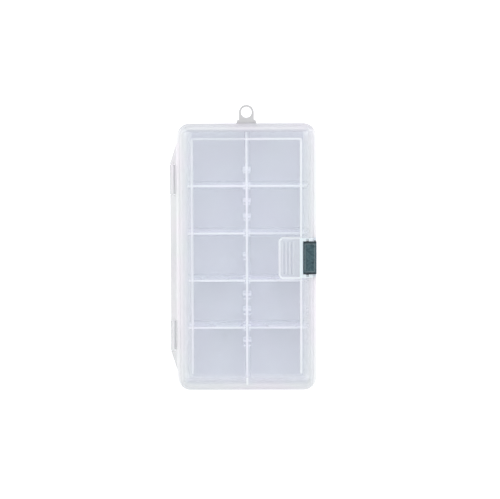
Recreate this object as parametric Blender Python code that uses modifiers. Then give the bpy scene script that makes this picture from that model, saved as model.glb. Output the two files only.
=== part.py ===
"""A flat compartment case for fishing flies: a frosted tray and a hinged lid, a clip latch,
lift-out dividers and a hanging tab. Metres, +Z up. The tray stands on z = 0, with its hinge
at -X, its latch at +X and its hanging tab at +Y."""

import math

import bmesh
import bpy
from mathutils import Matrix

MM = 0.001

# The whole case
CASE_LENGTH = 186.0 * MM
CASE_WIDTH = 96.6 * MM
CORNER_RADIUS = 9.0 * MM
RIM_THICKNESS = 1.4 * MM
RIM_TOP = 24.0 * MM
SEAM = 0.3 * MM
GAP = 0.3 * MM

# The tray
TRAY_WALL = 1.6 * MM
TRAY_RIM_REACH = 3.2 * MM
TRAY_DRAFT = 1.0 * MM
TRAY_FILLET = 3.0 * MM
TONGUE_RISE = 2.0 * MM
CENTRE_WALL = 1.5 * MM
CENTRE_WALL_TOP = 24.6 * MM

# The guide ribs that hold the dividers
SLOT_PITCH = 11.0 * MM
FIRST_SLOT_SHARE = 1.5
SLOTS_PER_END = 5
RIB_THICKNESS = 1.2 * MM
RIB_REACH = 1.8 * MM
RIB_TOP = 22.4 * MM

# The dividers
DIVIDER_THICKNESS = 1.5 * MM
DIVIDER_TOP = 24.0 * MM
DIVIDER_CORNER = 2.2 * MM
DIVIDER_EASE_IN = 1.2 * MM
DIVIDER_EASE_DOWN = 3.8 * MM
DIVIDER_SLOTS = (4, 1)

# The lid
LID_WALL = 1.4 * MM
LID_RIM_REACH = 1.7 * MM
LID_RISE = 8.9 * MM
LID_DRAFT = 0.4 * MM
LID_FILLET = 3.0 * MM
PANEL_BORDER = 10.7 * MM
PANEL_END_BORDER = 11.2 * MM
PANEL_RISE = 0.8 * MM
PANEL_EDGE = 0.6 * MM
PANEL_CORNER = 1.2 * MM

# The ribbed pad beside the latch
PAD_LENGTH = 15.0 * MM
PAD_WIDTH = 27.8 * MM
PAD_RIBS = 4
PAD_RIB_PITCH = 2.55 * MM
PAD_RIB_INSET = 2.0 * MM
PAD_RIB_LENGTH = 22.8 * MM
PAD_RIB_WIDTH = 1.2 * MM
PAD_RIB_RISE = 0.4 * MM

# The hinge: bars on the lid, hooks on the tray
HINGE_REACH = 3.3 * MM
HINGE_PLACE = 54.4 * MM
HOOK_LENGTH = 20.4 * MM
HOOK_END_GAP = 0.5 * MM
BAR_RADIUS = 0.9 * MM
HOOK_WALL = 0.65 * MM
HOOK_MOUTH_TOP = 60.0
HINGE_FLANGE_EDGE = 1.4 * MM
HINGE_CLEARANCE = 0.25 * MM
FLARE_START = 0.5 * MM
FLARE_LENGTH = 14.5 * MM

# The latch, in its pocket in the lid
LATCH_WIDTH = 22.6 * MM
LATCH_SIDE_GAP = 0.3 * MM
LATCH_PIVOT_X = 42.0 * MM
LATCH_PIVOT_DEPTH = 1.9 * MM
LATCH_PLATE = 1.1 * MM
LATCH_HEEL_RADIUS = 2.95 * MM
LATCH_HEEL_DEPTH = 1.6 * MM
LATCH_BARREL_RADIUS = 1.7 * MM
LATCH_FRONT_RADIUS = 2.4 * MM
LATCH_DROP = 12.8 * MM
LATCH_LIP = 1.3 * MM
LATCH_EDGE = 0.35 * MM
LATCH_RECESS_DEPTH = 0.4 * MM
LATCH_RECESS_SIDE = 1.7 * MM
LATCH_RECESS_END = 1.5 * MM
LATCH_RECESS_SLOPE = 0.3 * MM
LATCH_TRAVEL_GAP = 0.35 * MM
TRUNNION_RADIUS = 1.0 * MM
TRUNNION_LENGTH = 1.2 * MM
TRUNNION_CLEARANCE = 0.2 * MM
TRUNNION_MOUTH = 1.7 * MM
POCKET_CHEEK = 2.0 * MM
KEEPER_CUT = 2.0 * MM
KEEPER_CLEARANCE = 0.2 * MM

# The hanging tab, whose foot sits between two cheeks under the rim
TAB_THICKNESS = 2.0 * MM
TAB_RING_RADIUS = 5.15 * MM
TAB_HOLE_RADIUS = 3.75 * MM
TAB_REACH = 12.85 * MM
TAB_FOOT_HEIGHT = 5.0 * MM
TAB_FOOT_HALF = 7.9 * MM
TAB_FOOT_FLARE = 1.6 * MM
TAB_SHOULDER_REACH = 2.4 * MM
TAB_EDGE = 0.3 * MM
CHEEK_THICKNESS = 1.6 * MM
CHEEK_SETBACK = 0.4 * MM
CHEEK_DROP = 0.5 * MM

# How finely round shapes are cut, and how far cutters run past what they cut
CORNER_STEPS = 8
FILLET_STEPS = 4
ARC_STEP = 15.0
PIN_SIDES = 20
OVERRUN = 1.0 * MM
WELD = 0.001 * MM
SHARP_ANGLE = 40.0
FLAT_ANGLE = 1.0

# Places worked out from the sizes above
RIM_HALF_X = CASE_WIDTH / 2
RIM_HALF_Y = CASE_LENGTH / 2
RIM_UNDER = RIM_TOP - RIM_THICKNESS
TRAY_HALF_X = RIM_HALF_X - TRAY_RIM_REACH
TRAY_HALF_Y = RIM_HALF_Y - TRAY_RIM_REACH
TRAY_RADIUS = CORNER_RADIUS - TRAY_RIM_REACH
TONGUE_TOP = RIM_TOP + TONGUE_RISE
LID_UNDER = RIM_TOP + SEAM
LID_RIM_TOP = LID_UNDER + RIM_THICKNESS
LID_HALF_X = RIM_HALF_X - LID_RIM_REACH
LID_HALF_Y = RIM_HALF_Y - LID_RIM_REACH
LID_RADIUS = CORNER_RADIUS - LID_RIM_REACH
LID_TOP = LID_UNDER + LID_RISE
PANEL_TOP = LID_TOP + PANEL_RISE
PANEL_HALF_X = RIM_HALF_X - PANEL_BORDER
PANEL_HALF_Y = RIM_HALF_Y - PANEL_END_BORDER
PAD_X = PANEL_HALF_X - PAD_LENGTH
HINGE_X = -(RIM_HALF_X + HINGE_REACH)
HINGE_Z = (LID_UNDER + LID_RIM_TOP) / 2
HOOK_INNER = BAR_RADIUS + GAP
HOOK_OUTER = HOOK_INNER + HOOK_WALL
HINGE_OPENING = HOOK_LENGTH / 2 + HOOK_END_GAP
LATCH_PIVOT_Z = LID_TOP - LATCH_PIVOT_DEPTH
POCKET_HALF = LATCH_WIDTH / 2 + LATCH_SIDE_GAP
POCKET_BACK = LATCH_PIVOT_X - LATCH_HEEL_RADIUS - LATCH_TRAVEL_GAP
POCKET_FLOOR = LATCH_PIVOT_Z - LATCH_HEEL_RADIUS - LATCH_TRAVEL_GAP
POCKET_OUTSIDE = POCKET_HALF + POCKET_CHEEK
LATCH_FRONT = RIM_HALF_X
LATCH_INSIDE = LATCH_FRONT - LATCH_PLATE
KEEPER_X = RIM_HALF_X - KEEPER_CUT
LATCH_LOW = LATCH_PIVOT_Z - LATCH_DROP + LATCH_PIVOT_DEPTH
SLOT_WIDTH = DIVIDER_THICKNESS + 2 * GAP
TAB_BACK = TRAY_HALF_Y + GAP
TAB_TOP = RIM_UNDER - GAP
TAB_LOW = TAB_TOP - TAB_FOOT_HEIGHT

FROSTED = (0.80, 0.83, 0.88, 1.0)
DARK_GREEN = (0.070, 0.120, 0.135, 1.0)
GREY = (0.62, 0.62, 0.63, 1.0)


def clear_scene():
    """Remove what the scene holds, so that the file can be run again."""
    for obj in list(bpy.data.objects):
        bpy.data.objects.remove(obj)


def make_collection(name):
    """Add a collection to the scene."""
    collection = bpy.data.collections.new(name)
    bpy.context.scene.collection.children.link(collection)
    return collection


def plastic(name, colour, roughness):
    """A moulded plastic: a Principled material with one colour."""
    material = bpy.data.materials.new(name)
    material.use_nodes = True
    shader = material.node_tree.nodes["Principled BSDF"]
    shader.inputs["Base Color"].default_value = colour
    shader.inputs["Roughness"].default_value = roughness
    shader.inputs["Metallic"].default_value = 0
    return material


def mesh_object(name, bm, collection):
    """Turn a bmesh into an object in a collection."""
    mesh = bpy.data.meshes.new(name)
    bmesh.ops.recalc_face_normals(bm, faces=bm.faces)
    bm.to_mesh(mesh)
    bm.free()
    obj = bpy.data.objects.new(name, mesh)
    collection.objects.link(obj)
    if collection is tools:
        obj.hide_render = True
        obj.display_type = "WIRE"
    return obj


def arc(centre, radius, start, end):
    """Points on an arc, with both angles in degrees."""
    steps = max(1, math.ceil(abs(end - start) / ARC_STEP))
    angles = [math.radians(start + (end - start) * step / steps) for step in range(steps + 1)]
    return [(centre[0] + radius * math.cos(a), centre[1] + radius * math.sin(a)) for a in angles]


def rounded_rectangle(half_x, half_y, radius):
    """The outline of a rectangle with round corners, against the clock from the +X side."""
    points = []
    for turn, (side_x, side_y) in enumerate(((1, 1), (-1, 1), (-1, -1), (1, -1))):
        centre = (side_x * (half_x - radius), side_y * (half_y - radius))
        steps = range(CORNER_STEPS + 1)
        angles = [math.radians(90 * (turn + step / CORNER_STEPS)) for step in steps]
        points += [(centre[0] + radius * math.cos(a), centre[1] + radius * math.sin(a)) for a in angles]
    return points


def add_box(bm, x_range, y_range, z_range):
    """Add a block between two corners."""
    ranges = (x_range, y_range, z_range)
    size = [high - low for low, high in ranges]
    middle = [(high + low) / 2 for low, high in ranges]
    verts = bmesh.ops.create_cube(bm, size=1)["verts"]
    bmesh.ops.scale(bm, vec=size, verts=verts)
    bmesh.ops.translate(bm, vec=middle, verts=verts)
    return verts


def box(name, x_range, y_range, z_range):
    """A block for joining to, or cutting from, a part."""
    bm = bmesh.new()
    add_box(bm, x_range, y_range, z_range)
    return mesh_object(name, bm, tools)


def rod(name, radius, half_length, x, z, place_y=0):
    """A round bar that lies along Y."""
    bm = bmesh.new()
    bmesh.ops.create_cone(
        bm,
        cap_ends=True,
        segments=PIN_SIDES,
        radius1=radius,
        radius2=radius,
        depth=2 * half_length,
        matrix=Matrix.Translation((x, place_y, z)) @ Matrix.Rotation(math.radians(90), 4, "X"),
    )
    return mesh_object(name, bm, tools)


def plate(name, outlines, low, high, standing=False, collection=None):
    """A flat outline, with any holes, as a plate. It lies from low to high in z, or stands
    with its outline in x and z and its thickness from low to high in y."""
    curve = bpy.data.curves.new(name, "CURVE")
    curve.dimensions = "2D"
    curve.fill_mode = "BOTH"
    curve.extrude = (high - low) / 2
    for outline in outlines:
        spline = curve.splines.new("POLY")
        spline.points.add(len(outline) - 1)
        for point, (across, up) in zip(spline.points, outline):
            point.co = (across, up, 0, 1)
        spline.use_cyclic_u = True
    drawn = bpy.data.objects.new(name, curve)
    tools.objects.link(drawn)
    bpy.context.view_layer.update()
    mesh = bpy.data.meshes.new_from_object(drawn.evaluated_get(bpy.context.evaluated_depsgraph_get()))
    bpy.data.objects.remove(drawn)
    bm = bmesh.new()
    bm.from_mesh(mesh)
    bmesh.ops.remove_doubles(bm, verts=bm.verts, dist=WELD)
    bmesh.ops.dissolve_limit(bm, angle_limit=math.radians(FLAT_ANGLE), verts=bm.verts, edges=bm.edges)
    middle = (high + low) / 2
    if standing:
        bmesh.ops.rotate(bm, matrix=Matrix.Rotation(math.radians(90), 3, "X"), verts=bm.verts)
        bmesh.ops.translate(bm, vec=(0, middle, 0), verts=bm.verts)
    else:
        bmesh.ops.translate(bm, vec=(0, 0, middle), verts=bm.verts)
    return mesh_object(name, bm, collection or tools)


def moulded_form(name, half_x, half_y, radius, ends, draft_from, draft, fillet, is_open, collection):
    """A round-cornered form with draft. ends gives the z of its open end and of its closed
    end, whose edge has a fillet. The walls are upright from the open end to draft_from."""
    open_z, closed_z = ends
    bm = bmesh.new()
    add_box(bm, (-half_x, half_x), (-half_y, half_y), (min(ends), max(ends)))
    upright = [edge for edge in bm.edges if abs(edge.verts[0].co.z - edge.verts[1].co.z) > WELD]
    bmesh.ops.bevel(
        bm, geom=upright, offset=radius, segments=CORNER_STEPS, profile=0.5, affect="EDGES"
    )
    everything = bm.verts[:] + bm.edges[:] + bm.faces[:]
    bmesh.ops.bisect_plane(bm, geom=everything, plane_co=(0, 0, draft_from), plane_no=(0, 0, 1))
    closed = [vert for vert in bm.verts if abs(vert.co.z - closed_z) < WELD]
    narrowed = ((half_x - draft) / half_x, (half_y - draft) / half_y, 1)
    bmesh.ops.scale(bm, vec=narrowed, verts=closed)
    if is_open:
        mouth = [face for face in bm.faces if all(abs(v.co.z - open_z) < WELD for v in face.verts)]
        bmesh.ops.delete(bm, geom=mouth, context="FACES_ONLY")
    edge_of_end = [
        edge for edge in bm.edges if all(abs(vert.co.z - closed_z) < WELD for vert in edge.verts)
    ]
    bmesh.ops.bevel(
        bm, geom=edge_of_end, offset=fillet, segments=FILLET_STEPS, profile=0.5, affect="EDGES"
    )
    return mesh_object(name, bm, collection)


def tray_form(name, inset, is_open, collection):
    """The tray's outer skin, or a solid whose skin lies inset within it."""
    return moulded_form(
        name,
        TRAY_HALF_X - inset,
        TRAY_HALF_Y - inset,
        TRAY_RADIUS - inset,
        (TONGUE_TOP if is_open else TONGUE_TOP + OVERRUN, inset),
        RIM_UNDER,
        TRAY_DRAFT,
        TRAY_FILLET - inset,
        is_open,
        collection,
    )


def lid_form(name, inset, is_open, collection):
    """The lid's outer skin, or a solid whose skin lies inset within it."""
    return moulded_form(
        name,
        LID_HALF_X - inset,
        LID_HALF_Y - inset,
        LID_RADIUS - inset,
        (LID_UNDER + RIM_THICKNESS / 2 if is_open else LID_UNDER - OVERRUN, LID_TOP - inset),
        LID_RIM_TOP,
        LID_DRAFT,
        LID_FILLET - inset,
        is_open,
        collection,
    )


def thicken(obj, thickness):
    """Give an open skin its wall, inwards."""
    modifier = obj.modifiers.new("wall", "SOLIDIFY")
    modifier.thickness = thickness
    modifier.offset = -1
    modifier.use_even_offset = True


def round_edges(obj, width, steps=2):
    """Round the sharp edges of a piece."""
    modifier = obj.modifiers.new("edges", "BEVEL")
    modifier.width = width
    modifier.segments = steps
    modifier.limit_method = "ANGLE"
    modifier.angle_limit = math.radians(SHARP_ANGLE)


def combine(target, tool, operation):
    """Join a tool to a part, cut it away, or keep what both share."""
    modifier = target.modifiers.new(tool.name, "BOOLEAN")
    modifier.operation = operation
    modifier.object = tool


def slot_places():
    """The places along Y of the divider slots that both columns have."""
    steps = [SLOT_PITCH * (FIRST_SLOT_SHARE + step) for step in range(SLOTS_PER_END)]
    return [side * step for side in (1, -1) for step in steps]


def guide_ribs():
    """Pairs of ribs on the centre wall and both side walls. The left column has one slot more,
    half way along, which would split its middle compartment."""
    bm = bmesh.new()
    half_step = (SLOT_WIDTH + RIB_THICKNESS) / 2
    tip = CENTRE_WALL / 2 + RIB_REACH
    side_tip = TRAY_HALF_X - TRAY_WALL - RIB_REACH
    heights = (-2 * OVERRUN, RIB_TOP)
    both = ((-TRAY_HALF_X, -side_tip), (-tip, tip), (side_tip, TRAY_HALF_X))
    left_only = ((-TRAY_HALF_X, -side_tip), (-tip, 0))
    for place, spans in [(place, both) for place in slot_places()] + [(0, left_only)]:
        for side in (-1, 1):
            middle = place + side * half_step
            for span in spans:
                add_box(bm, span, (middle - RIB_THICKNESS / 2, middle + RIB_THICKNESS / 2), heights)
    return mesh_object("guide_ribs", bm, tools)


def inner_walls():
    """The centre wall and the guide ribs, trimmed to end inside the tray's walls and floor."""
    wall = box(
        "centre_wall",
        (-CENTRE_WALL / 2, CENTRE_WALL / 2),
        (-TRAY_HALF_Y, TRAY_HALF_Y),
        (-OVERRUN, CENTRE_WALL_TOP),
    )
    combine(wall, guide_ribs(), "UNION")
    combine(wall, tray_form("tray_core", TRAY_WALL / 2, False, tools), "INTERSECT")
    return wall


def notched_rectangle(half_x, half_y, radius, notch_x, notch_half):
    """A round-cornered outline with its +X side cut back to notch_x between two places."""
    outline = rounded_rectangle(half_x, half_y, radius)
    notch = [(half_x, -notch_half), (notch_x, -notch_half), (notch_x, notch_half), (half_x, notch_half)]
    return outline + notch


def tray_rim():
    """The rim round the tray. It is cut back at the latch, where its edge is the keeper."""
    outer = notched_rectangle(RIM_HALF_X, RIM_HALF_Y, CORNER_RADIUS, KEEPER_X, POCKET_HALF)
    buried = TRAY_WALL / 2
    inner = rounded_rectangle(TRAY_HALF_X - buried, TRAY_HALF_Y - buried, TRAY_RADIUS - buried)
    return plate("tray_rim", (outer, inner), RIM_UNDER, RIM_TOP)


def hinge_hook(name, place):
    """A hook that reaches out from the rim and round the lid's hinge bar. Its mouth is open
    towards the case, so that the bar can be pressed in."""
    centre = (HINGE_X, HINGE_Z)
    root = -RIM_HALF_X + TRAY_RIM_REACH / 2
    meets = math.degrees(math.asin((RIM_TOP - HINGE_Z) / HOOK_INNER))
    bore = arc(centre, HOOK_INNER, meets, HOOK_MOUTH_TOP - 360)
    back = arc(centre, HOOK_OUTER, HOOK_MOUTH_TOP - 360, -90)
    arm = [(HINGE_X + HOOK_OUTER, RIM_UNDER), (root, RIM_UNDER), (root, RIM_TOP)]
    ends = (place - HOOK_LENGTH / 2, place + HOOK_LENGTH / 2)
    return plate(name, (bore + back + arm,), *ends, standing=True)


def tab_half_width(y):
    """Half the width of the hanging tab's foot, which narrows outwards as a dovetail."""
    length = RIM_HALF_Y + TAB_SHOULDER_REACH - TAB_BACK
    return TAB_FOOT_HALF - TAB_FOOT_FLARE * (y - TAB_BACK) / length


def tab_cheek(name, side):
    """One of two cheeks under the rim that hold the hanging tab's foot."""
    near = TRAY_HALF_Y - TRAY_DRAFT
    far = RIM_HALF_Y - CHEEK_SETBACK
    inner = [(side * (tab_half_width(y) + GAP), y) for y in (near, far)]
    outer = [(side * (tab_half_width(y) + GAP + CHEEK_THICKNESS), y) for y in (far, near)]
    return plate(name, (inner + outer,), TAB_LOW - CHEEK_DROP, RIM_UNDER + RIM_THICKNESS / 2)


def make_tray():
    """The lower half: a drafted pan with a rim, a centre wall, guide ribs and hinge hooks."""
    tray = tray_form("tray", 0, True, parts)
    thicken(tray, TRAY_WALL)
    combine(tray, tray_rim(), "UNION")
    combine(tray, inner_walls(), "UNION")
    for name, place in (("hook_hanger_end", HINGE_PLACE), ("hook_plain_end", -HINGE_PLACE)):
        combine(tray, hinge_hook(name, place), "UNION")
    for name, side in (("cheek_right", 1), ("cheek_left", -1)):
        combine(tray, tab_cheek(name, side), "UNION")
    return tray


def hinge_flare(side):
    """The hinge flange's outline on one half of the -X side, from its middle outwards: a
    straight edge with an opening for the hook, then a slant in to the rim."""
    edge = HINGE_X - HINGE_FLANGE_EDGE
    inner = HINGE_X + HOOK_OUTER + HINGE_CLEARANCE
    near = HINGE_PLACE - HINGE_OPENING
    far = HINGE_PLACE + HINGE_OPENING
    slant = far + FLARE_START
    steps = [(edge, near), (inner, near), (inner, far), (edge, far), (edge, slant)]
    steps.append((-RIM_HALF_X, slant + FLARE_LENGTH))
    return [(x, side * y) for x, y in steps]


def lid_rim():
    """The rim round the lid, with the hinge flange along its -X side and a notch for the
    latch. It is one flat plate with the lid's dome standing on it."""
    corners = rounded_rectangle(RIM_HALF_X, RIM_HALF_Y, CORNER_RADIUS)
    half = len(corners) // 2
    flange = hinge_flare(1)[::-1] + hinge_flare(-1)
    notch_x = LATCH_INSIDE - GAP
    notch = [(RIM_HALF_X, -POCKET_HALF), (notch_x, -POCKET_HALF)]
    notch += [(x, -y) for x, y in reversed(notch)]
    outer = corners[:half] + flange + corners[half:] + notch
    buried = LID_WALL / 2
    inner = rounded_rectangle(LID_HALF_X - buried, LID_HALF_Y - buried, LID_RADIUS - buried)
    return plate("lid_rim", (outer, inner), LID_UNDER, LID_RIM_TOP)


def panel_outline(inset):
    """The raised panel's outline: a rectangle with a bite for the pad beside the latch."""
    half_x = PANEL_HALF_X - inset
    outline = rounded_rectangle(half_x, PANEL_HALF_Y - inset, PANEL_CORNER)
    bite_half = PAD_WIDTH / 2 + inset
    back = PAD_X - inset
    corner = PANEL_CORNER
    lower = arc((back + corner, corner - bite_half), corner, 270, 180)
    upper = arc((back + corner, bite_half - corner), corner, 180, 90)
    return outline + [(half_x, -bite_half)] + lower + upper + [(half_x, bite_half)]


def pad_ribs():
    """The low grip ribs on the pad."""
    bm = bmesh.new()
    half = PAD_RIB_LENGTH / 2
    for rib in range(PAD_RIBS):
        x = PAD_X + PAD_RIB_INSET + rib * PAD_RIB_PITCH
        span = (x - PAD_RIB_WIDTH / 2, x + PAD_RIB_WIDTH / 2)
        add_box(bm, span, (-half, half), (LID_TOP - LID_WALL / 2, LID_TOP + PAD_RIB_RISE))
    ribs = mesh_object("pad_ribs", bm, tools)
    round_edges(ribs, PAD_RIB_RISE / 2)
    return ribs


def pocket_walls():
    """The block round the latch's pocket, trimmed to end inside the lid's skin."""
    walls = box(
        "pocket_walls",
        (POCKET_BACK - LID_WALL, LID_HALF_X),
        (-POCKET_OUTSIDE, POCKET_OUTSIDE),
        (POCKET_FLOOR - LID_WALL, LID_TOP),
    )
    combine(walls, lid_form("lid_core", LID_WALL / 2, False, tools), "INTERSECT")
    return walls


def bearing_cut(name, side):
    """A round seat for the latch's trunnion, with a narrower mouth that the pin snaps past."""
    reach = TRUNNION_LENGTH + GAP
    middle = side * (POCKET_HALF + reach / 2)
    half = (reach + OVERRUN) / 2
    shift = middle - side * OVERRUN / 2
    seat = rod(name, TRUNNION_RADIUS + TRUNNION_CLEARANCE, half, LATCH_PIVOT_X, LATCH_PIVOT_Z, shift)
    mouth = box(
        name + "_mouth",
        (LATCH_PIVOT_X - TRUNNION_MOUTH / 2, LATCH_PIVOT_X + TRUNNION_MOUTH / 2),
        (shift - half, shift + half),
        (LATCH_PIVOT_Z, PANEL_TOP + OVERRUN),
    )
    combine(seat, mouth, "UNION")
    return seat


def make_lid():
    """The upper half: a shallow dome with a rim and hinge flange, a raised panel, a ribbed pad
    and a pocket that carries the latch."""
    lid = lid_form("lid", 0, True, parts)
    thicken(lid, LID_WALL)
    combine(lid, lid_rim(), "UNION")
    panel = plate("panel", (panel_outline(0),), LID_TOP - LID_WALL / 2, PANEL_TOP)
    round_edges(panel, PANEL_EDGE)
    combine(lid, panel, "UNION")
    under = plate("panel_under", (panel_outline(LID_WALL),), RIM_TOP, PANEL_TOP - LID_WALL)
    combine(lid, under, "DIFFERENCE")
    combine(lid, pad_ribs(), "UNION")
    combine(lid, pocket_walls(), "UNION")
    pocket = box(
        "pocket",
        (POCKET_BACK, RIM_HALF_X + OVERRUN),
        (-POCKET_HALF, POCKET_HALF),
        (POCKET_FLOOR, PANEL_TOP + OVERRUN),
    )
    combine(lid, pocket, "DIFFERENCE")
    for name, side in (("bearing_right", 1), ("bearing_left", -1)):
        combine(lid, bearing_cut(name, side), "DIFFERENCE")
    half = HINGE_OPENING + OVERRUN
    for name, place in (("bar_hanger_end", HINGE_PLACE), ("bar_plain_end", -HINGE_PLACE)):
        combine(lid, rod(name, BAR_RADIUS, half, HINGE_X, HINGE_Z, place), "UNION")
    return lid


def latch_outline():
    """The latch from its end: a plate that is hooked over the lid's edge, with a barrel round
    the pivot, a heel behind it and a lip that faces the keeper under its edge."""
    pivot = (LATCH_PIVOT_X, LATCH_PIVOT_Z)
    top = LID_TOP
    under = top - LATCH_PLATE
    heel_low = top - LATCH_HEEL_DEPTH
    heel_start = 180 - math.degrees(math.asin((heel_low - LATCH_PIVOT_Z) / LATCH_HEEL_RADIUS))
    heel_end = 180 - math.degrees(math.asin(LATCH_PIVOT_DEPTH / LATCH_HEEL_RADIUS))
    bend = (LATCH_FRONT - LATCH_FRONT_RADIUS, top - LATCH_FRONT_RADIUS)
    barrel_start = math.degrees(math.asin((under - LATCH_PIVOT_Z) / LATCH_BARREL_RADIUS))
    barrel_end = -180 - math.degrees(math.asin((heel_low - LATCH_PIVOT_Z) / LATCH_BARREL_RADIUS))
    lip_tip = KEEPER_X + KEEPER_CLEARANCE
    lip_top = RIM_UNDER - GAP
    lip_low = lip_top - LATCH_LIP
    points = arc(pivot, LATCH_HEEL_RADIUS, heel_start, heel_end)
    points += arc(bend, LATCH_FRONT_RADIUS, 90, 0)
    points += [(LATCH_FRONT, LATCH_LOW), (LATCH_INSIDE, LATCH_LOW)]
    points += [(lip_tip, lip_low), (lip_tip, lip_top), (LATCH_INSIDE, lip_top)]
    points += arc(bend, LATCH_FRONT_RADIUS - LATCH_PLATE, 0, 90)
    points += arc(pivot, LATCH_BARREL_RADIUS, barrel_start, barrel_end)
    return points


def make_latch():
    """The clip latch, with a shallow recess in its face and a trunnion at each end."""
    half = LATCH_WIDTH / 2
    latch = plate("latch", (latch_outline(),), -half, half, standing=True, collection=parts)
    round_edges(latch, LATCH_EDGE)
    pins = rod("trunnions", TRUNNION_RADIUS, half + TRUNNION_LENGTH, LATCH_PIVOT_X, LATCH_PIVOT_Z)
    combine(latch, pins, "UNION")
    back = LATCH_PIVOT_X - LATCH_HEEL_RADIUS
    bend = LATCH_FRONT - LATCH_FRONT_RADIUS
    face = box(
        "latch_recess",
        (back + LATCH_RECESS_END, bend),
        (LATCH_RECESS_SIDE - half, half - LATCH_RECESS_SIDE),
        (LID_TOP - LATCH_RECESS_DEPTH, LID_TOP + OVERRUN),
    )
    round_edges(face, LATCH_RECESS_SLOPE, 1)
    combine(latch, face, "DIFFERENCE")
    return latch


def divider_outline():
    """A divider from its face: square to the centre wall and drafted to the side wall. Its top is
    eased at the side wall, so that it rises past the rounded edge of the lid's hollow."""
    near = CENTRE_WALL / 2 + GAP
    far = TRAY_HALF_X - TRAY_WALL - GAP
    low = TRAY_WALL + GAP
    lean = TRAY_DRAFT * (RIM_UNDER - low) / RIM_UNDER
    foot = far - lean
    shoulder = DIVIDER_TOP - DIVIDER_EASE_DOWN
    return [
        (near, low),
        (foot - DIVIDER_CORNER, low),
        (foot, low + DIVIDER_CORNER),
        (far - TRAY_DRAFT * (RIM_UNDER - shoulder) / RIM_UNDER, shoulder),
        (far - DIVIDER_EASE_IN, DIVIDER_TOP),
        (near, DIVIDER_TOP),
    ]


def make_dividers():
    """Eight alike dividers, four in each column. Those on the left are turned half round."""
    half = DIVIDER_THICKNESS / 2
    first = plate("divider", (divider_outline(),), -half, half, standing=True)
    mesh = first.data
    bpy.data.objects.remove(first)
    places = slot_places()
    ends = (places[DIVIDER_SLOTS[0] - 1], places[0])
    rows = (ends[0], ends[1], -ends[1], -ends[0])
    made = []
    for column, turn in (("left", math.pi), ("right", 0)):
        for row, place in enumerate(rows):
            divider = bpy.data.objects.new(f"divider_{column}_{row + 1}", mesh)
            divider.location = (0, place, 0)
            divider.rotation_euler = (0, 0, turn)
            parts.objects.link(divider)
            round_edges(divider, DIVIDER_THICKNESS / 4)
            made.append(divider)
    return made


def make_tab():
    """The hanging tab: a ring on a short neck, with a deeper dovetail foot."""
    centre_y = RIM_HALF_Y + TAB_REACH - TAB_RING_RADIUS
    shoulder = RIM_HALF_Y + TAB_SHOULDER_REACH
    foot = [(tab_half_width(TAB_BACK), TAB_BACK), (tab_half_width(shoulder), shoulder)]
    ring = arc((0, centre_y), TAB_RING_RADIUS, 0, 180)
    neck = [(TAB_RING_RADIUS, shoulder)] + ring + [(-TAB_RING_RADIUS, shoulder)]
    outline = foot + neck + [(-x, y) for x, y in reversed(foot)]
    hole = arc((0, centre_y), TAB_HOLE_RADIUS, 0, 360)[:-1]
    tab = plate("hanging_tab", (outline, hole), TAB_TOP - TAB_THICKNESS, TAB_TOP, collection=parts)
    round_edges(tab, TAB_EDGE)
    side = [(tab_half_width(y) - TAB_EDGE, y) for y in (TAB_BACK + TAB_EDGE, RIM_HALF_Y)]
    block = side + [(-x, y) for x, y in reversed(side)]
    combine(tab, plate("tab_foot", (block,), TAB_LOW, TAB_TOP - TAB_EDGE), "UNION")
    return tab


def pivot_empty(name, location, pieces):
    """An empty on a joint's axis, which carries the pieces that turn about it."""
    empty = bpy.data.objects.new(name, None)
    empty.location = location
    parts.objects.link(empty)
    bpy.context.view_layer.update()
    for piece in pieces:
        piece.parent = empty
        piece.matrix_parent_inverse = empty.matrix_world.inverted()
    return empty


def finish_with(material, pieces):
    """Give pieces their material, and shade their round faces smooth."""
    for mesh in {piece.data for piece in pieces}:
        mesh.materials.append(material)
        mesh.shade_smooth()
        mesh.set_sharp_from_angle(angle=math.radians(SHARP_ANGLE))


clear_scene()
parts = make_collection("fly_box")
tools = make_collection("shaping_tools")

tray = make_tray()
lid = make_lid()
latch = make_latch()
dividers = make_dividers()
tab = make_tab()

latch_axis = pivot_empty("latch_axis", (LATCH_PIVOT_X, 0, LATCH_PIVOT_Z), [latch])
hinge_axis = pivot_empty("hinge_axis", (HINGE_X, 0, HINGE_Z), [lid, latch_axis])

finish_with(plastic("frosted_polypropylene", FROSTED, 0.35), [tray, lid, *dividers])
finish_with(plastic("dark_green_plastic", DARK_GREEN, 0.4), [latch])
finish_with(plastic("grey_plastic", GREY, 0.45), [tab])
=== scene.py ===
import math

import bpy
import numpy as np
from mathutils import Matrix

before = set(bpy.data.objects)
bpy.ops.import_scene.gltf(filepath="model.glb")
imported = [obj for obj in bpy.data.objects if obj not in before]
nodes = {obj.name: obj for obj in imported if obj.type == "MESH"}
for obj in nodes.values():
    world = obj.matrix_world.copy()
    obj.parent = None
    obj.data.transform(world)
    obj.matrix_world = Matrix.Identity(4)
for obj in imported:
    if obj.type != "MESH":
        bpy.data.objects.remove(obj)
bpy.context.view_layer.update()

scene = bpy.context.scene
scene.view_settings.view_transform = "Standard"

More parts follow.
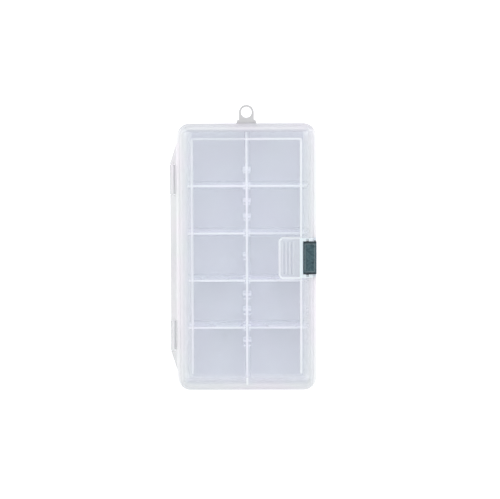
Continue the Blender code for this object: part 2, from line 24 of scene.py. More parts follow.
# The place where the case is photographed: a white sheet under soft light, seen almost from
# straight above. The camera stands a little towards the hanging tab, so that the dividers show
# their sides towards it, and the sheet is white to it while it keeps the case's shadow.
MM = 0.001
RIM_PLANE = 25.0 * MM
CAMERA_OVER = (2.54 * MM, 100.0 * MM)
CAMERA_RISE = 1250.0 * MM
AIM = (2.06 * MM, 5.42 * MM)
FRAME_WIDTH = 347.95 * MM
CAMERA_ROLL = -0.0035
SENSOR = 36.0
LAMP_PLACE = (0.1, 0.9, 1.5)
LAMP_SIZE = 1.6
LAMP_WATTS = 13.0
SKY_WHITE = (1, 1, 1, 1)
SKY_STRENGTH = 0.765
SHEET_WHITE = (0.85, 0.85, 0.86, 1.0)
SHEET_GLOW = 0.4
FLOOR_DROP = 0.2 * MM
FLOOR_HALF = 3.0
CLEAR_BOUNCES = 48


class Link:
    """One output of a shader node. Arithmetic on it adds Math nodes, on either side."""

    def __init__(self, tree, socket):
        self.tree = tree
        self.socket = socket

    def node(self, kind, settings=None, sockets=None, output=0):
        """Add a node: its settings first, then the values and links of its sockets."""
        node = self.tree.nodes.new(kind)
        for name, value in (settings or {}).items():
            setattr(node, name, value)
        for name, value in (sockets or {}).items():
            if isinstance(value, Link):
                self.tree.links.new(value.socket, node.inputs[name])
            else:
                node.inputs[name].default_value = value
        return Link(self.tree, node.outputs[output] if node.outputs else None)

    def math(self, operation, first, second=0.0):
        """A Math node on values or links."""
        return self.node("ShaderNodeMath", {"operation": operation}, {0: first, 1: second})

    def mix(self, share, first, second):
        """A Mix node on two colours. Its sockets share their names, so they go by number."""
        sockets = {0: share, 6: first, 7: second}
        return self.node("ShaderNodeMix", {"data_type": "RGBA"}, sockets, 2)

    def __add__(self, other):
        return self.math("ADD", self, other)

    def __radd__(self, other):
        return self.math("ADD", other, self)

    def __sub__(self, other):
        return self.math("SUBTRACT", self, other)

    def __rsub__(self, other):
        return self.math("SUBTRACT", other, self)

    def __mul__(self, other):
        return self.math("MULTIPLY", self, other)

    def __rmul__(self, other):
        return self.math("MULTIPLY", other, self)

    def __truediv__(self, other):
        return self.math("DIVIDE", self, other)

    def __rtruediv__(self, other):
        return self.math("DIVIDE", other, self)

    def __pow__(self, other):
        return self.math("POWER", self, other)

    def __rpow__(self, other):
        return self.math("POWER", other, self)

    def __neg__(self):
        return self.math("MULTIPLY", self, -1.0)

    def __abs__(self):
        return self.math("ABSOLUTE", self)

    def __or__(self, other):
        """The larger of two values."""
        return self.math("MAXIMUM", self, other)

    def __ror__(self, other):
        return self.math("MAXIMUM", other, self)

    def __and__(self, other):
        """The smaller of two values."""
        return self.math("MINIMUM", self, other)

    def __rand__(self, other):
        return self.math("MINIMUM", other, self)


def new_tree(owner):
    """An empty node tree, as a Link that adds nodes to it."""
    owner.use_nodes = True
    owner.node_tree.nodes.clear()
    return Link(owner.node_tree, None)


def seen_rays(tree):
    """One for rays from the camera and for what glossy and clear surfaces show, else none."""
    path = tree.node("ShaderNodeLightPath")
    outputs = path.socket.node.outputs
    names = ("Is Camera Ray", "Is Glossy Ray", "Is Transmission Ray")
    camera_ray, glossy_ray, clear_ray = (Link(tree.tree, outputs[name]) for name in names)
    return camera_ray | glossy_ray | clear_ray


camera = bpy.data.objects.new("camera", bpy.data.cameras.new("camera"))
scene.collection.objects.link(camera)
camera.data.sensor_width = SENSOR
camera.data.lens = SENSOR * math.hypot(CAMERA_RISE, CAMERA_OVER[1] - AIM[1]) / FRAME_WIDTH
camera.location = (*CAMERA_OVER, RIM_PLANE + CAMERA_RISE)
lean = math.atan2(AIM[1] - CAMERA_OVER[1], CAMERA_RISE)
camera.rotation_euler = (lean, 0, CAMERA_ROLL)
scene.camera = camera

# Enough for a look from the side through all the clear surfaces of the case.
scene.cycles.transparent_max_bounces = CLEAR_BOUNCES

corners = [(-FLOOR_HALF, -FLOOR_HALF), (FLOOR_HALF, -FLOOR_HALF)]
corners += [(FLOOR_HALF, FLOOR_HALF), (-FLOOR_HALF, FLOOR_HALF)]
floor_mesh = bpy.data.meshes.new("floor")
floor_mesh.from_pydata([(x, y, -FLOOR_DROP) for x, y in corners], [], [(0, 1, 2, 3)])
floor = bpy.data.objects.new("floor", floor_mesh)
scene.collection.objects.link(floor)
paper = bpy.data.materials.new("white_sheet")
tree = new_tree(paper)
sheet = tree.node("ShaderNodeBsdfDiffuse", {}, {"Color": SHEET_WHITE})
glow = tree.node("ShaderNodeEmission", {}, {"Strength": seen_rays(tree) * SHEET_GLOW})
both = tree.node("ShaderNodeAddShader", {}, {0: sheet, 1: glow})
tree.node("ShaderNodeOutputMaterial", {}, {"Surface": both})
floor_mesh.materials.append(paper)

world = bpy.data.worlds.new("studio")
scene.world = world
tree = new_tree(world)
strength = SKY_STRENGTH + (1 - SKY_STRENGTH) * seen_rays(tree)
sky = tree.node("ShaderNodeBackground", {}, {"Color": SKY_WHITE, "Strength": strength})
tree.node("ShaderNodeOutputWorld", {}, {"Surface": sky})

lamp = bpy.data.objects.new("lamp", bpy.data.lights.new("lamp", "AREA"))
lamp.data.size = LAMP_SIZE
lamp.data.energy = LAMP_WATTS
lamp.location = LAMP_PLACE
lamp.rotation_euler = (-lamp.location).to_track_quat("-Z", "Y").to_euler()
scene.collection.objects.link(lamp)

# The tray, moulded in one piece in frosted polypropylene with its rim, its centre wall and the
# ribs that hold the dividers. The plastic is clear with milk in its depth, so its thin floor
# shows the sheet below, with painted shade in its tint. The white that a wall shows when it is
# looked along from its edge is painted light on its top.

# Places on a piece are in millimetres. A BAND is where a fade starts and where it ends.
MM_PER_METRE = 1000
TRAY_HALF = (45.1, 89.8)
TRAY_CORNER = 5.8
DIVIDER_ROWS = (49.5, 16.5, -16.5, -49.5)
UPWARD_BAND = (0.4, 0.8)
UPRIGHT_BAND = (0.7, 0.2)
FLOOR_BAND = (4.6, 1.8)
RIB_TOP_BAND = (21.2, 22.2)
WALL_TOP_BAND = (23.2, 23.9)
TRAY_RIM_BAND = (-0.1, 0.3)

# The end wall at the hanging tab shows less of its white top, but for the end of the centre wall.
TAB_END_BAND = (87.0, 87.5)
TAB_END_LOSS = 0.9
WALL_SIDE_BAND = (0.8, 1.2)

# Painted light on the floor at the feet: of the centre wall, of the divider rows, and of the
# ribs.
WALL_FOOT_MIDDLE = 0.5
WALL_FOOT_BAND = (2.4, 0.8)
WALL_FOOT_SHARE = 0.6
ROW_FOOT_SHIFT = 0.2
ROW_FOOT_BAND = (3.6, 0.2)
ROW_FOOT_SHARE = 0.75
SLOT_STEP = 11.0
SLOT_BAND = (2.8, 1.4)
SLOT_FROM_BAND = (11.0, 12.0)
SLOT_TO_BAND = (66.0, 65.0)
SLOT_LEFT_BAND = (0.0, 0.5)
SLOT_WIDTH_BAND = (3.8, 2.4)

# The hinge: its hooks, the painted shade of their outer line, their thinner tips, and the
# painted shade in the seam along the lid's bars.
HOOK_BAND = (48.4, 49.0)
HOOK_LINE_X = 52.75
HOOK_LINE_BAND = (0.6, 0.2)
HOOK_LINE_SHARE = 0.7
HOOK_TIP_BAND = (52.95, 53.35)
HOOK_TIP_LOSS = 0.6
SEAM_X = 50.1
SEAM_BAND = (0.7, 0.3)
SEAM_MIDDLE = 54.4
SEAM_END_BAND = (10.9, 10.3)

FLOOR_MILK = 0.29
WALL_MILK = 0.20
RIB_MILK = 0.6
# The white on the tops is painted light, for the light a wall gathers along its depth.
TOP_MILK = 0.93
TRAY_RIM_MILK = 0.5
HOOK_MILK = 0.5
FOOT_MILK = 0.85
SEAM_SHADE_MILK = 0.85
FLOOR_TINT_AND_SHADE = (0.39, 0.43, 0.485, 1.0)
WALL_TINT = (0.92, 0.94, 0.98, 1.0)
TOP_TINT = (0.97, 0.98, 1.0, 1.0)
TRAY_RIM_TINT = (0.95, 0.95, 0.97, 1.0)
HOOK_TINT = (1.0, 1.0, 1.0, 1.0)
HINGE_SHADE_TINT = (0.72, 0.72, 0.72, 1.0)

# The plastic itself. A noise is given by its scale and its detail.
CLOUD_NOISE = (38.0, 3.0)
FLOW_NOISE = (60.0, 2.0)
FLOW_DRAW = (1.0, 0.15, 1.0)
GRAIN_NOISE = (1400.0, 2.0)
GRAIN_STRENGTH = 0.12
GRAIN_DEPTH = 0.04 * MM
MILK_LEAST = 0.93
MILK_CLOUD = 0.09
MILK_FLOW = 0.05
CAST_BAND = (0.38, 0.62)
COOL_CAST = (0.975, 1.0, 0.985, 1.0)
WARM_CAST = (1.0, 0.98, 1.0, 1.0)
ROUGHNESS_CLOUD = 0.10
ROUGHNESS_FLOW = 0.08
PLASTIC_IOR = 1.49
CLEAR_TINT = (0.985, 0.988, 1.0, 1.0)
THROUGH_TINT = (0.985, 0.985, 1.0, 1.0)
THROUGH_FLAT = 0.15
THROUGH_UPRIGHT = 0.5
TRAY_ROUGHNESS = 0.34
WELD_GAP = 0.005 * MM
SHARP_DEGREES = 40
EDGE_STEPS = 2
EDGE_ROUNDING = 0.25 * MM


def fade(value, start, end):
    """Rise smoothly from none at start to one at end, or fall if end is the smaller."""
    sockets = {"Value": value, "From Min": start, "From Max": end}
    return value.node("ShaderNodeMapRange", {"interpolation_type": "SMOOTHSTEP"}, sockets)


def blend_over(under, share, over):
    """Lay one value over another by a share."""
    return under + (over - under) * share


def nearest_of(value, middles):
    """Distance from a value to the nearest of some middles."""
    nearest = abs(value - middles[0])
    for middle in middles[1:]:
        nearest = nearest & abs(value - middle)
    return nearest


def outline_distance(x, y, half, corner):
    """Distance outside a rectangle with round corners, and less than none within it: the length
    of what is past its straight part in x and y together, less the corner's radius."""
    past_x = abs(x) - (half[0] - corner)
    past_y = abs(y) - (half[1] - corner)
    outside = ((past_x | 0.0) ** 2 + (past_y | 0.0) ** 2) ** 0.5
    return outside + ((past_x | past_y) & 0.0) - corner


def parts_of(vector):
    """The three parts of a vector."""
    apart = vector.node("ShaderNodeSeparateXYZ", {}, {0: vector})
    return [Link(vector.tree, socket) for socket in apart.socket.node.outputs]


def noise(place, scale, detail):
    """A noise texture over a piece, by its scale and its detail."""
    sockets = {"Vector": place, "Scale": scale, "Detail": detail}
    return place.node("ShaderNodeTexNoise", {}, sockets)


def new_plastic(name):
    """A new material, its tree, the place on the piece, and x, y and z of it in millimetres."""
    material = bpy.data.materials.new(name)
    tree = new_tree(material)
    place = tree.node("ShaderNodeTexCoord", {}, {}, "Object")
    return material, tree, place, [part * MM_PER_METRE for part in parts_of(place)]


def frosted(name, pattern, roughness):
    """The frosted plastic. The pattern gives how milky it is over a piece, and in what tint."""
    material, tree, place, (x, y, z) = new_plastic(name)
    up = parts_of(tree.node("ShaderNodeTexCoord", {}, {}, "Normal"))[2]
    cloud = noise(place, *CLOUD_NOISE)
    grain = noise(place, *GRAIN_NOISE)
    drawn = place.node("ShaderNodeMapping", {}, {"Vector": place, "Scale": FLOW_DRAW})
    flow = noise(drawn, *FLOW_NOISE)
    milk, tint = pattern(x, y, z, up)
    milk = (milk * (MILK_LEAST + MILK_CLOUD * cloud + MILK_FLOW * flow)) & 1.0
    cast = tree.mix(fade(cloud, *CAST_BAND), COOL_CAST, WARM_CAST)
    tint = tree.node("ShaderNodeVectorMath", {"operation": "MULTIPLY"}, {0: tint, 1: cast})
    sockets = {"Strength": GRAIN_STRENGTH, "Distance": GRAIN_DEPTH, "Height": grain}
    relief = tree.node("ShaderNodeBump", {}, sockets)
    roughness = roughness + ROUGHNESS_CLOUD * cloud + ROUGHNESS_FLOW * flow
    sockets = {"Base Color": tint, "Roughness": roughness, "Normal": relief, "IOR": PLASTIC_IOR}
    body = tree.node("ShaderNodeBsdfPrincipled", {}, sockets)
    through = tree.node("ShaderNodeBsdfTranslucent", {}, {"Color": THROUGH_TINT})
    share = fade(abs(up), *UPRIGHT_BAND) * (THROUGH_UPRIGHT - THROUGH_FLAT) + THROUGH_FLAT
    milky = tree.node("ShaderNodeMixShader", {}, {0: share, 1: body, 2: through})
    clear = tree.node("ShaderNodeBsdfTransparent", {}, {"Color": CLEAR_TINT})
    shown = tree.node("ShaderNodeMixShader", {}, {0: milk, 1: clear, 2: milky})
    tree.node("ShaderNodeOutputMaterial", {}, {"Surface": shown})
    return material


def hinge_seam_shade(x, y):
    """One along the seam between each hook and the bar that it holds: painted shade in the gap.
    """
    beside = abs(abs(y) - SEAM_MIDDLE)
    return fade(abs(x + SEAM_X), *SEAM_BAND) * fade(beside, *SEAM_END_BAND)


def painted_light_at_feet(x, y):
    """Painted light on the floor where the centre wall, the dividers and the ribs stand on it."""
    along = abs(y)
    wall = fade(abs(x - WALL_FOOT_MIDDLE), *WALL_FOOT_BAND) * WALL_FOOT_SHARE
    rows = fade(nearest_of(y + ROW_FOOT_SHIFT, DIVIDER_ROWS), *ROW_FOOT_BAND) * ROW_FOOT_SHARE
    steps = along / SLOT_STEP
    slots = fade(abs(steps.math("FRACT", steps) - 0.5) * SLOT_STEP, *SLOT_BAND)
    slots = slots * fade(along, *SLOT_FROM_BAND) * fade(along, *SLOT_TO_BAND)
    slots = slots | (fade(along, *SLOT_BAND) * fade(-x, *SLOT_LEFT_BAND))
    return wall | rows | (slots * fade(abs(x), *SLOT_WIDTH_BAND))


def tray_pattern(x, y, z, up):
    """Thin over the floor, with painted shade in its tint and painted light at the foot of each
    upright, milky on the walls, and painted white light on what stands high."""
    facing = fade(up, *UPWARD_BAND)
    bottom = fade(z, *FLOOR_BAND)
    kept = 1 - TAB_END_LOSS * fade(y, *TAB_END_BAND) * fade(abs(x), *WALL_SIDE_BAND)
    ribs = facing * fade(z, *RIB_TOP_BAND) * kept
    tops = facing * fade(z, *WALL_TOP_BAND) * kept
    rim = fade(outline_distance(x, y, TRAY_HALF, TRAY_CORNER), *TRAY_RIM_BAND)
    hooks = fade(-x, *HOOK_BAND)
    foot = painted_light_at_feet(x, y) * bottom * facing
    seam = hinge_seam_shade(x, y)
    milk = blend_over(bottom * (FLOOR_MILK - WALL_MILK) + WALL_MILK, ribs, RIB_MILK)
    milk = blend_over(blend_over(milk, tops, TOP_MILK), rim, TRAY_RIM_MILK)
    milk = blend_over(blend_over(milk, hooks, HOOK_MILK), foot, FOOT_MILK)
    milk = milk * (1 - HOOK_TIP_LOSS * fade(-x, *HOOK_TIP_BAND))
    # Over the floor, the plastic's blue tint with painted shade; painted light at the feet and
    # tops.
    tint = x.mix(foot, x.mix(bottom, WALL_TINT, FLOOR_TINT_AND_SHADE), TOP_TINT)
    tint = x.mix(rim, x.mix(ribs | tops, tint, TOP_TINT), TRAY_RIM_TINT)
    # Painted shade along the outer line of each hook and in the seam.
    line = fade(abs(x + HOOK_LINE_X), *HOOK_LINE_BAND) * HOOK_LINE_SHARE
    tint = x.mix(hooks, tint, x.mix(seam | line, HOOK_TINT, HINGE_SHADE_TINT))
    return blend_over(milk, seam, SEAM_SHADE_MILK), tint


def dress(node, material):
    """Put a material on a CAD node."""
    node.data.materials.clear()
    node.data.materials.append(material)


def soften(node, width):
    """Round a moulding's sharp edges, and shade it smoothly."""
    weld = node.modifiers.new("weld", "WELD")
    weld.merge_threshold = WELD_GAP
    bevel = node.modifiers.new("edges", "BEVEL")
    bevel.width = width
    bevel.segments = EDGE_STEPS
    bevel.limit_method = "ANGLE"
    bevel.angle_limit = math.radians(SHARP_DEGREES)
    bevel.use_clamp_overlap = True
    weigh = node.modifiers.new("normals", "WEIGHTED_NORMAL")
    weigh.keep_sharp = False
    node.data.polygons.foreach_set("use_smooth", np.ones(len(node.data.polygons), bool))


dress(nodes["tray"], frosted("frosted_tray", tray_pattern, TRAY_ROUGHNESS))
soften(nodes["tray"], EDGE_ROUNDING)

# The lid, moulded in the same plastic but thinner and clearer, with a shallow dome, a raised
# panel, a ribbed thumb pad beside the latch, and the hinge's flange and bars in one piece. The
# step round the panel and the pad is thicker, and the white line along it is painted light.
LID_HALF = (48.3, 93.0)
LID_CORNER = 9.0
DOME_HALF = (46.6, 91.3)
DOME_CORNER = 7.3
DOME_EDGE_BAND = (-0.4, 0.1)
TOP_FACE_BAND = (32.6, 32.9)
PAST_MIDDLE_BAND = (0.0, 1.0)

# The painted white line round the panel, fainter at the ends and on the left, and the
# narrower one round the pad, with the pad's ribs and the shade between them.
PANEL_HALF = (37.6, 81.8)
PANEL_CORNER = 0.7
PANEL_STRETCH = 0.5
PANEL_STRETCH_BAND = (0.0, 70.0)
LINE_BAND = (1.05, 0.55)
LINE_END_BAND = (80.0, 81.0)
LINE_PLAIN_END_LOSS = 0.8
LINE_TAB_END_LOSS = 0.2
LINE_SHARE = 0.88
LINE_LEFT_LOSS = 0.28
LINE_MILK = 0.92
PAD_MIDDLE = 32.6
PAD_HALF = (10.0, 13.9)
PAD_CORNER = 2.5
PAD_BAND = (0.0, -0.8)
PAD_LINE_LOSS = 0.35
PAD_LINE_OUTER_BAND = (1.2, 0.6)
PAD_LINE_INNER_BAND = (0.3, 0.6)
PAD_MILK = 0.2
PAD_RIBS = (24.6, 27.15, 29.7, 32.25)
PAD_RIB_BAND = (0.75, 0.4)
PAD_RIB_END_BAND = (11.6, 11.2)
PAD_RIB_MILK = 0.12
GROOVE_FROM_RIB = 1.25
GROOVE_BAND = (0.7, 0.3)
GROOVE_END_BAND = (11.4, 10.4)
GROOVE_SHARE = 0.5
POCKET_FROM_BAND = (36.4, 36.9)
POCKET_SIDE_BAND = (14.0, 13.4)
POCKET_MILK = 0.92

# How the milk climbs towards the sides and the ends: each step's band and what it adds.
SIDES_MIDDLE = 0.8
SIDE_CLIMB = ((38.0, 39.0, 0.18), (40.6, 46.6, 0.36), (45.0, 46.6, 0.26))
TAB_END_CLIMB = ((86.9, 87.7, 0.6),)
PLAIN_END_CLIMB = ((82.4, 84.4, 0.28), (84.0, 88.0, 0.42))
LID_MILK = 0.07
LID_RIM_MILK = 0.55
LID_SIDE_RIM_MORE = 0.38
SIDE_RIM_FROM_BAND = (45.6, 46.6)
SIDE_RIM_TO_BAND = (48.6, 47.8)

# The end of the tray's centre wall, which shows through the plain end.
WALL_END_SIDE_BAND = (1.0, 0.5)
WALL_END_FROM_BAND = (82.5, 83.5)
WALL_END_TO_BAND = (89.2, 87.6)
WALL_END_SHARE = 0.75

# The tints, from the panel outwards, with the shade inside the long sides and the ends.
SHOULDER_BAND = (38.2, 39.2)
SIDE_BAND = (42.0, 45.0)
SHADE_FROM_BAND = (40.6, 42.2)
SHADE_TO_BAND = (45.0, 43.4)
SHADE_END_BAND = (90.0, 84.0)
SHADE_SHARE = 0.35
SHADE_RIGHT_MORE = 0.35
END_SIDE_BAND = (44.0, 40.0)
PLAIN_END_FROM_BAND = (81.6, 83.6)
PLAIN_END_TO_BAND = (89.6, 85.2)
END_RIM_BAND = (86.0, 88.0)
END_RIM_SIDE_BAND = (46.0, 42.0)
TAB_END_SHADE_BAND = (86.8, 87.2)
TAB_END_RIM_BAND = (88.4, 89.2)
SIDE_RIM_TINT_BAND = (44.0, 46.0)
PLAIN_RIM_TINT_BAND = (80.0, 90.0)
LID_EDGE_BAND = (-0.9, -0.2)
LID_EDGE_END_BAND = (84.0, 90.0)
LID_TINT = (0.90, 0.92, 0.98, 1.0)
SHOULDER_TINT = (0.90, 0.93, 0.94, 1.0)
SIDE_TINT = (0.965, 0.96, 0.975, 1.0)
SHADE_TINT = (0.63, 0.64, 0.63, 1.0)
END_TINT = (0.60, 0.61, 0.67, 1.0)
END_RIM_TINT = (0.90, 0.90, 0.93, 1.0)
TAB_END_TINT = (0.79, 0.785, 0.81, 1.0)
LID_RIM_TINT = (0.79, 0.785, 0.80, 1.0)
SIDE_RIM_TINT = (1.0, 0.995, 1.0, 1.0)
LID_EDGE_TINT = (0.66, 0.66, 0.67, 1.0)
LINE_TINT = (0.95, 0.97, 1.0, 1.0)
GROOVE_TINT = (0.25, 0.27, 0.31, 1.0)
POCKET_TINT = (0.85, 0.93, 0.975, 1.0)

# The hinge's flange, with painted shade in its middle and at its ends.
FLANGE_BAND = (48.6, 49.4)
FLANGE_MIDDLE_BAND = (26.0, 2.0)
FLANGE_END_BAND = (64.5, 68.0)
FLANGE_END_SHARE = 0.6
FLANGE_MILK = 0.6
FLANGE_TINT = (0.775, 0.77, 0.765, 1.0)
LID_ROUGHNESS = 0.28


def climb(value, steps):
    """The sum of some fades of a value, each with its start, its end and what it adds."""
    return sum(fade(value, start, end) * rise for start, end, rise in steps)


def lid_line(x, y, pad):
    """Painted light along the step round the panel and the pad, as a white line."""
    stretched = y - PANEL_STRETCH * fade(y, *PANEL_STRETCH_BAND)
    panel = outline_distance(x, stretched, PANEL_HALF, PANEL_CORNER)
    beside = abs(pad)
    loss = fade(beside, *PAD_LINE_OUTER_BAND) * fade(beside, *PAD_LINE_INNER_BAND)
    line = fade(abs(panel | -pad), *LINE_BAND) - PAD_LINE_LOSS * loss
    plain_end = LINE_PLAIN_END_LOSS * fade(-y, *LINE_END_BAND)
    tab_end = LINE_TAB_END_LOSS * fade(y, *LINE_END_BAND)
    left = LINE_LEFT_LOSS * fade(-x, *PAST_MIDDLE_BAND)
    return line * (1 - plain_end - tab_end) * (LINE_SHARE - left)


def lid_tint(x, y):
    """The tint of the dome: even in the panel, and changing towards the sides and the ends."""
    along = abs(y)
    across = abs(x)
    between = fade(across, *END_SIDE_BAND)
    tint = x.mix(fade(across, *SHOULDER_BAND), LID_TINT, SHOULDER_TINT)
    tint = x.mix(fade(across, *SIDE_BAND), tint, SIDE_TINT)
    shade = fade(across, *SHADE_FROM_BAND) * fade(across, *SHADE_TO_BAND)
    shade = shade * fade(along, *SHADE_END_BAND)
    shade = shade * (SHADE_SHARE + SHADE_RIGHT_MORE * fade(x, *PAST_MIDDLE_BAND))
    tint = x.mix(shade, tint, SHADE_TINT)
    end_rim = fade(-y, *END_RIM_BAND) * fade(across, *END_RIM_SIDE_BAND)
    tint = x.mix(end_rim, tint, END_RIM_TINT)
    plain_end = fade(-y, *PLAIN_END_FROM_BAND) * fade(-y, *PLAIN_END_TO_BAND) * between
    tint = x.mix(plain_end, tint, END_TINT)
    tint = x.mix(fade(y, *TAB_END_SHADE_BAND) * between, tint, END_TINT)
    return x.mix(fade(y, *TAB_END_RIM_BAND) * between, tint, TAB_END_TINT)


def lid_pattern(x, y, z, up):
    """Almost clear in the middle, whiter towards the walls, with its lines of painted light
    and its pocket white.
    """
    along = abs(y)
    across = abs(x)
    top_face = fade(z, *TOP_FACE_BAND)
    rim = fade(outline_distance(x, y, DOME_HALF, DOME_CORNER), *DOME_EDGE_BAND)
    pad = outline_distance(x - PAD_MIDDLE, y, PAD_HALF, PAD_CORNER)
    in_pad = fade(pad, *PAD_BAND) * top_face
    # The white line round the panel and the pad is painted light.
    line = lid_line(x, y, pad) * top_face
    pocket = fade(x, *POCKET_FROM_BAND) * fade(along, *POCKET_SIDE_BAND)
    ribs = fade(nearest_of(x, PAD_RIBS), *PAD_RIB_BAND) * fade(along, *PAD_RIB_END_BAND)
    grooves = fade(nearest_of(x - GROOVE_FROM_RIB, PAD_RIBS[:-1]), *GROOVE_BAND)
    grooves = grooves * fade(along, *GROOVE_END_BAND) * in_pad
    wall_end = fade(-y, *WALL_END_FROM_BAND) * fade(-y, *WALL_END_TO_BAND)
    wall_end = wall_end * fade(across, *WALL_END_SIDE_BAND) * top_face
    flange = fade(-x, *FLANGE_BAND)
    seam = hinge_seam_shade(x, y)

    sides = climb(abs(x - SIDES_MIDDLE), SIDE_CLIMB)
    ends = climb(y, TAB_END_CLIMB) + climb(-y, PLAIN_END_CLIMB)
    milk = LID_MILK + (sides | ends) + in_pad * (PAD_MILK + PAD_RIB_MILK * ribs)
    # More milk on the dome's rounded side edges: painted light where they face away and darken.
    side_rim = fade(across, *SIDE_RIM_FROM_BAND) * fade(across, *SIDE_RIM_TO_BAND)
    milk = blend_over(milk, rim, LID_RIM_MILK + LID_SIDE_RIM_MORE * side_rim)
    milk = blend_over(milk, flange, FLANGE_MILK)
    milk = blend_over(milk, line | WALL_END_SHARE * wall_end, LINE_MILK)
    milk = blend_over(blend_over(milk, pocket, POCKET_MILK), seam, SEAM_SHADE_MILK)

    tint = x.mix(in_pad, lid_tint(x, y), LINE_TINT)
    tint = x.mix(grooves * GROOVE_SHARE, tint, GROOVE_TINT)
    # Whiter rims along the sides and the plain end: painted light against the dome's shade.
    beside = fade(across, *SIDE_RIM_TINT_BAND) | fade(-y, *PLAIN_RIM_TINT_BAND)
    rim_tint = x.mix(beside, LID_RIM_TINT, SIDE_RIM_TINT)
    edge = fade(outline_distance(x, y, LID_HALF, LID_CORNER), *LID_EDGE_BAND)
    edge = edge * fade(y, *LID_EDGE_END_BAND)
    tint = x.mix(rim, tint, x.mix(edge, rim_tint, LID_EDGE_TINT))
    # Painted shade on the flange: in the seam, in its middle and at its ends.
    flange_shade = seam | fade(along, *FLANGE_MIDDLE_BAND)
    flange_shade = flange_shade | FLANGE_END_SHARE * fade(along, *FLANGE_END_BAND)
    tint = x.mix(flange, tint, x.mix(flange_shade, FLANGE_TINT, HINGE_SHADE_TINT))
    return milk, x.mix(pocket, x.mix(line | wall_end, tint, LINE_TINT), POCKET_TINT)


dress(nodes["lid"], frosted("frosted_lid", lid_pattern, LID_ROUGHNESS))
soften(nodes["lid"], EDGE_ROUNDING)

# The dividers, eight alike plates of the tray's plastic that drop between its ribs. The white
# of their top edges through the lid is painted light, and a few lean a little and catch the
# light, which is painted as a pale patch.
DIVIDER_MILK = 0.14
DIVIDER_MILK_MORE = 0.22
DIVIDER_RISE_BAND = (3.0, 22.0)
DIVIDER_TINT = (0.95, 0.96, 1.0, 1.0)
DIVIDER_ROUGHNESS = 0.36
EDGE_UPWARD_BAND = (0.2, 0.6)
EDGE_HEIGHT_BAND = (22.8, 23.6)
EDGE_MILK = 0.96
UNDERSIDE_BAND = (-0.8, -0.4)

# Each patch of painted light has its middle, its row, and half its length at PATCH_HEIGHT.
# It tapers upwards.
LIT_PATCHES = ((-22.5, -16.5, 9.5), (-13.5, -49.5, 9.5), (24.5, -49.5, 11.0), (27.0, -16.5, 8.0))
PATCH_MILK = 0.7
PATCH_HEIGHT = 12.0
PATCH_TAPER = 0.15
PATCH_SIDE_BAND = (0.8, -0.8)
ROW_BAND = (2.0, 1.0)

# Two dividers on the right show less of their top edge.
DIM_ROWS = (16.5, -49.5)
DIM_BAND = (0.0, 3.0)
DIM_LOSS = 0.25


def divider_pattern(x, y, z, up):
    """Painted light, white, along the top edge, and milky on the faces, more so in the lit
    patches.
    """
    top = fade(up, *EDGE_UPWARD_BAND) * fade(z, *EDGE_HEIGHT_BAND)
    light_patches = x * 0.0
    for middle, row, half in LIT_PATCHES:
        beside = abs(x - middle) - (half - PATCH_TAPER * (z - PATCH_HEIGHT))
        light_patches = light_patches | (fade(beside, *PATCH_SIDE_BAND) * fade(abs(y - row), *ROW_BAND))
    dim = fade(x, *DIM_BAND) * fade(nearest_of(y, DIM_ROWS), *ROW_BAND)
    milk = DIVIDER_MILK + DIVIDER_MILK_MORE * fade(z, *DIVIDER_RISE_BAND)
    milk = blend_over(blend_over(milk, light_patches, PATCH_MILK), top, EDGE_MILK - DIM_LOSS * dim)
    return milk * fade(up, *UNDERSIDE_BAND), x.mix(top, DIVIDER_TINT, TOP_TINT)


divider_plastic = frosted("frosted_divider", divider_pattern, DIVIDER_ROUGHNESS)
for name, node in nodes.items():
    if name.startswith("divider"):
        dress(node, divider_plastic)

# The clip latch, a separate moulding in dark green polypropylene that snaps by its trunnions
# into the lid's pocket and hooks under the tray's rim. Its face has a shallow recess, with a
# painted highlight along its edges, and its ends are painted dark for the shade of the pocket.
RECESS_MIDDLE = 43.6
RECESS_HALF = (3.3, 9.6)
RECESS_CORNER = 0.4
LATCH_FACE_BAND = (32.2, 32.6)
HIGHLIGHT_BAND = (0.55, 0.15)
HIGHLIGHT_LEAST = 0.25
HIGHLIGHT_MOTTLE = 1.1
LATCH_END_BAND = (9.8, 10.6)
TRUNNION_BAND = (11.5, 11.9)
LATCH_CLOUD_NOISE = (260.0, 4.0)
MOTTLE_NOISE = (800.0, 3.0)
FINE_NOISE = (1800.0, 2.0)
MOTTLE_PALE_BAND = (0.42, 0.68)
MOTTLE_PALE_SHARE = 0.55
MOTTLE_DARK_BAND = (0.5, 0.3)
MOTTLE_DARK_SHARE = 0.5
LATCH_GREEN = (0.038, 0.082, 0.099, 1.0)
LATCH_HIGHLIGHT = (0.17, 0.21, 0.225, 1.0)
LATCH_PALE = (0.085, 0.15, 0.165, 1.0)
LATCH_END = (0.018, 0.03, 0.038, 1.0)
TRUNNION_PALE = (0.62, 0.66, 0.68, 1.0)
LATCH_ROUGHNESS = 0.34
LATCH_ROUGHNESS_CLOUD = 0.16
LATCH_SHINE = 0.25
LATCH_RELIEF = 0.25
RELIEF_DEPTH = 0.05 * MM


def opaque(material, tree, sockets, height, strength):
    """End a material in one Principled surface with a fine relief."""
    relief = {"Strength": strength, "Distance": RELIEF_DEPTH, "Height": height}
    normal = tree.node("ShaderNodeBump", {}, relief)
    body = tree.node("ShaderNodeBsdfPrincipled", {}, {**sockets, "Normal": normal})
    tree.node("ShaderNodeOutputMaterial", {}, {"Surface": body})
    return material


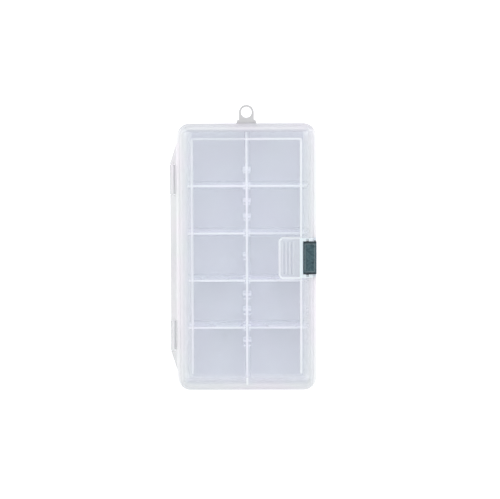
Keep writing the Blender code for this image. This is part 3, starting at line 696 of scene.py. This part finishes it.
material, tree, place, (x, y, z) = new_plastic("latch_green")
cloud = noise(place, *LATCH_CLOUD_NOISE)
mottle = noise(place, *MOTTLE_NOISE)
grain = noise(place, *FINE_NOISE)
recess = outline_distance(x - RECESS_MIDDLE, y, RECESS_HALF, RECESS_CORNER)
# A painted highlight along the recess's edges, broken by the mottle.
recess_highlight = fade(abs(recess), *HIGHLIGHT_BAND) * fade(z, *LATCH_FACE_BAND)
recess_highlight = recess_highlight * (HIGHLIGHT_LEAST + HIGHLIGHT_MOTTLE * mottle)
colour = tree.mix(recess_highlight, LATCH_GREEN, LATCH_HIGHLIGHT)
colour = tree.mix(fade(mottle, *MOTTLE_PALE_BAND) * MOTTLE_PALE_SHARE, colour, LATCH_PALE)
colour = tree.mix(fade(mottle, *MOTTLE_DARK_BAND) * MOTTLE_DARK_SHARE, colour, LATCH_END)
# The ends painted dark, for the shade of the pocket.
colour = tree.mix(fade(abs(y), *LATCH_END_BAND), colour, LATCH_END)
colour = tree.mix(fade(abs(y), *TRUNNION_BAND), colour, TRUNNION_PALE)
roughness = LATCH_ROUGHNESS + LATCH_ROUGHNESS_CLOUD * cloud
sockets = {"Base Color": colour, "Roughness": roughness, "Specular IOR Level": LATCH_SHINE}
dress(nodes["latch"], opaque(material, tree, sockets, grain + cloud, LATCH_RELIEF))

# The hanging tab, a separate moulding in grey plastic whose foot is pushed in between two
# cheeks under the tray's rim. It is darker towards its foot, in the shade of the rim.
TAB_CLOUD_NOISE = (300.0, 3.0)
TAB_FOOT_BAND = (94.6, 93.4)
TAB_FOOT_SHARE = 0.6
TAB_CLOUD_BAND = (0.4, 0.7)
TAB_CLOUD_SHARE = 0.25
TAB_GREY = (0.57, 0.57, 0.575, 1.0)
TAB_DARK = (0.47, 0.47, 0.485, 1.0)
TAB_ROUGHNESS = 0.4
TAB_ROUGHNESS_CLOUD = 0.15
TAB_RELIEF = 0.2
TAB_ROUNDING = 0.1 * MM

material, tree, place, (_, y, _) = new_plastic("tab_grey")
cloud = noise(place, *TAB_CLOUD_NOISE)
grain = noise(place, *FINE_NOISE)
dark = fade(y, *TAB_FOOT_BAND) * TAB_FOOT_SHARE
dark = dark + TAB_CLOUD_SHARE * fade(cloud, *TAB_CLOUD_BAND)
roughness = TAB_ROUGHNESS + TAB_ROUGHNESS_CLOUD * cloud
sockets = {"Base Color": tree.mix(dark, TAB_GREY, TAB_DARK), "Roughness": roughness}
dress(nodes["hanging_tab"], opaque(material, tree, sockets, grain, TAB_RELIEF))
soften(nodes["hanging_tab"], TAB_ROUNDING)
